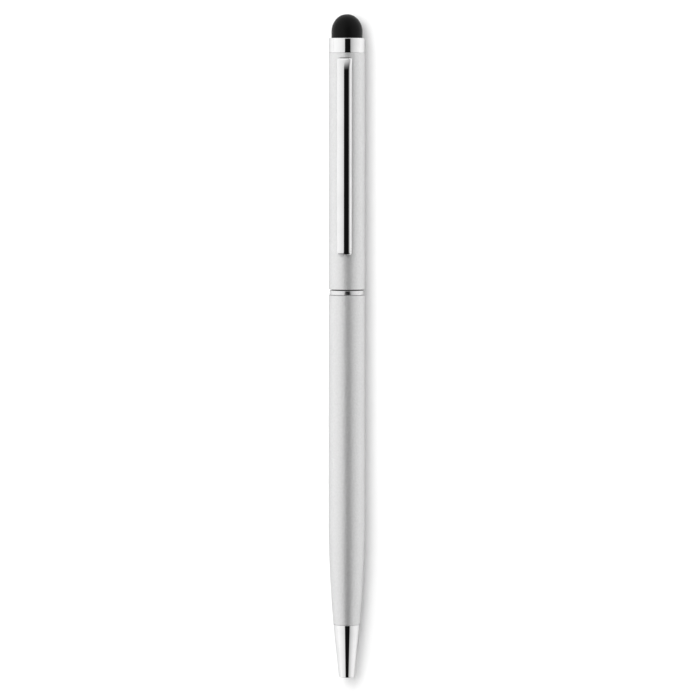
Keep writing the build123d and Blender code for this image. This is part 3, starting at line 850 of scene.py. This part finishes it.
def grey_by_angle(tree, angle, stops):
    """Grey that follows an angle in radians, half a turn either way, from (degrees, grey) stops."""
    share = add(tree, "ShaderNodeMapRange", {"Value": angle, "From Min": -pi, "From Max": pi})
    ramp = add(
        tree,
        "ShaderNodeValToRGB",
        {"Fac": share.outputs["Result"]},
        stops=[((degrees + 180) / 360, (grey, grey, grey, 1.0)) for degrees, grey in stops],
    )
    return ramp.outputs["Color"]


world = bpy.data.worlds.new("light_tent")
bpy.context.scene.world = world
world.use_nodes = True
tent = world.node_tree
tent.nodes.clear()
way = add(tent, "ShaderNodeSeparateXYZ", {0: add(tent, "ShaderNodeTexCoord").outputs["Generated"]})
upright_angle = add(
    tent, "ShaderNodeMath", {0: way.outputs["X"], 1: way.outputs["Z"]}, operation="ARCTAN2"
)
turn_angle = add(
    tent,
    "ShaderNodeMath",
    {0: upright_angle.outputs[0], 1: radians(CAMERA_LEAN)},
    operation="SUBTRACT",
)
tilt_angle = add(tent, "ShaderNodeMath", {0: way.outputs["Y"]}, operation="ARCSINE")
widening = add(
    tent,
    "ShaderNodeMapRange",
    {
        "Value": tilt_angle.outputs[0],
        "From Min": radians(SLIT_WIDE_TILT),
        "From Max": 0.0,
        "To Min": SLIT_WIDE_SHARE,
    },
)
slit_angle = add(
    tent,
    "ShaderNodeMath",
    {0: turn_angle.outputs[0], 1: widening.outputs["Result"]},
    operation="MULTIPLY",
)
in_slit = add(
    tent,
    "ShaderNodeMath",
    {
        0: grey_by_angle(tent, slit_angle.outputs[0], SLIT_STOPS),
        1: grey_by_angle(tent, tilt_angle.outputs[0], SLIT_LENGTH_STOPS),
    },
    operation="MULTIPLY",
)
open_share = add(
    tent,
    "ShaderNodeMath",
    {0: in_slit.outputs[0], 1: -SLIT_DEPTH, 2: 1.0},
    operation="MULTIPLY_ADD",
)
wall_share = add(
    tent,
    "ShaderNodeMath",
    {
        0: open_share.outputs[0],
        1: grey_by_angle(tent, tilt_angle.outputs[0], TENT_LENGTH_STOPS),
    },
    operation="MULTIPLY",
)
walls = grey_by_angle(tent, turn_angle.outputs[0], TENT_STOPS)
shine = add(tent, "ShaderNodeBackground", {"Color": walls, "Strength": wall_share.outputs[0]})
add(tent, "ShaderNodeOutputWorld", {"Surface": shine.outputs[0]})

lamp_data = bpy.data.lights.new("soft_lamp", "AREA")
lamp_data.shape = "RECTANGLE"
lamp_data.size = LAMP_WIDTH
lamp_data.size_y = LAMP_LENGTH
lamp_data.energy = LAMP_POWER
lamp = in_scene("soft_lamp", lamp_data)
lamp.visible_glossy = False
lamp_way = Vector(
    (
        sin(radians(LAMP_TURN)) * cos(radians(LAMP_TILT)),
        sin(radians(LAMP_TILT)),
        cos(radians(LAMP_TURN)) * cos(radians(LAMP_TILT)),
    )
)


def aim(thing, place, target, roll=0.0):
    """Put a lamp or camera at a place, looking at a target, with the pen's stylus end at the top of
    its view, or rolled to the right of there by some degrees."""
    back = (place - target).normalized()
    right = Vector((-sin(radians(roll)), cos(radians(roll)), 0)).cross(back).normalized()
    up = back.cross(right)
    thing.matrix_world = Matrix.Translation(place) @ Matrix((right, up, back)).transposed().to_4x4()


aim(lamp, lamp_way * LAMP_DISTANCE, Vector((0, 0, 0)))

# Camera: high above the pen, square to it near the stylus end and leaning a little to the right, as
# the photograph's seams and the clip's place over the barrel show.
PHOTO_SIZE = 700
PIXEL = 0.20337 * MM
CAMERA_DISTANCE = 1.108
CAMERA_Y = 59.6 * MM
CENTRE_Y = -0.68 * MM
CENTRE_RIGHT = 0.65 * MM
CAMERA_ROLL = 0.03
CAMERA_NEAR = 10 * MM
lean = radians(CAMERA_LEAN)
camera_data = bpy.data.cameras.new("camera")
camera = in_scene("camera", camera_data)
camera_place = Vector((sin(lean) * CAMERA_DISTANCE, CAMERA_Y, AXIS_Z + cos(lean) * CAMERA_DISTANCE))
centre = Vector((cos(lean) * CENTRE_RIGHT, CENTRE_Y, AXIS_Z - sin(lean) * CENTRE_RIGHT))
aim(camera, camera_place, centre, CAMERA_ROLL)
camera_data.angle = 2 * atan(PHOTO_SIZE / 2 * PIXEL / (camera_place - centre).length)
camera_data.clip_start = CAMERA_NEAR
bpy.context.scene.camera = camera
bpy.context.scene.view_settings.view_transform = "Standard"

bpy.context.view_layer.update()
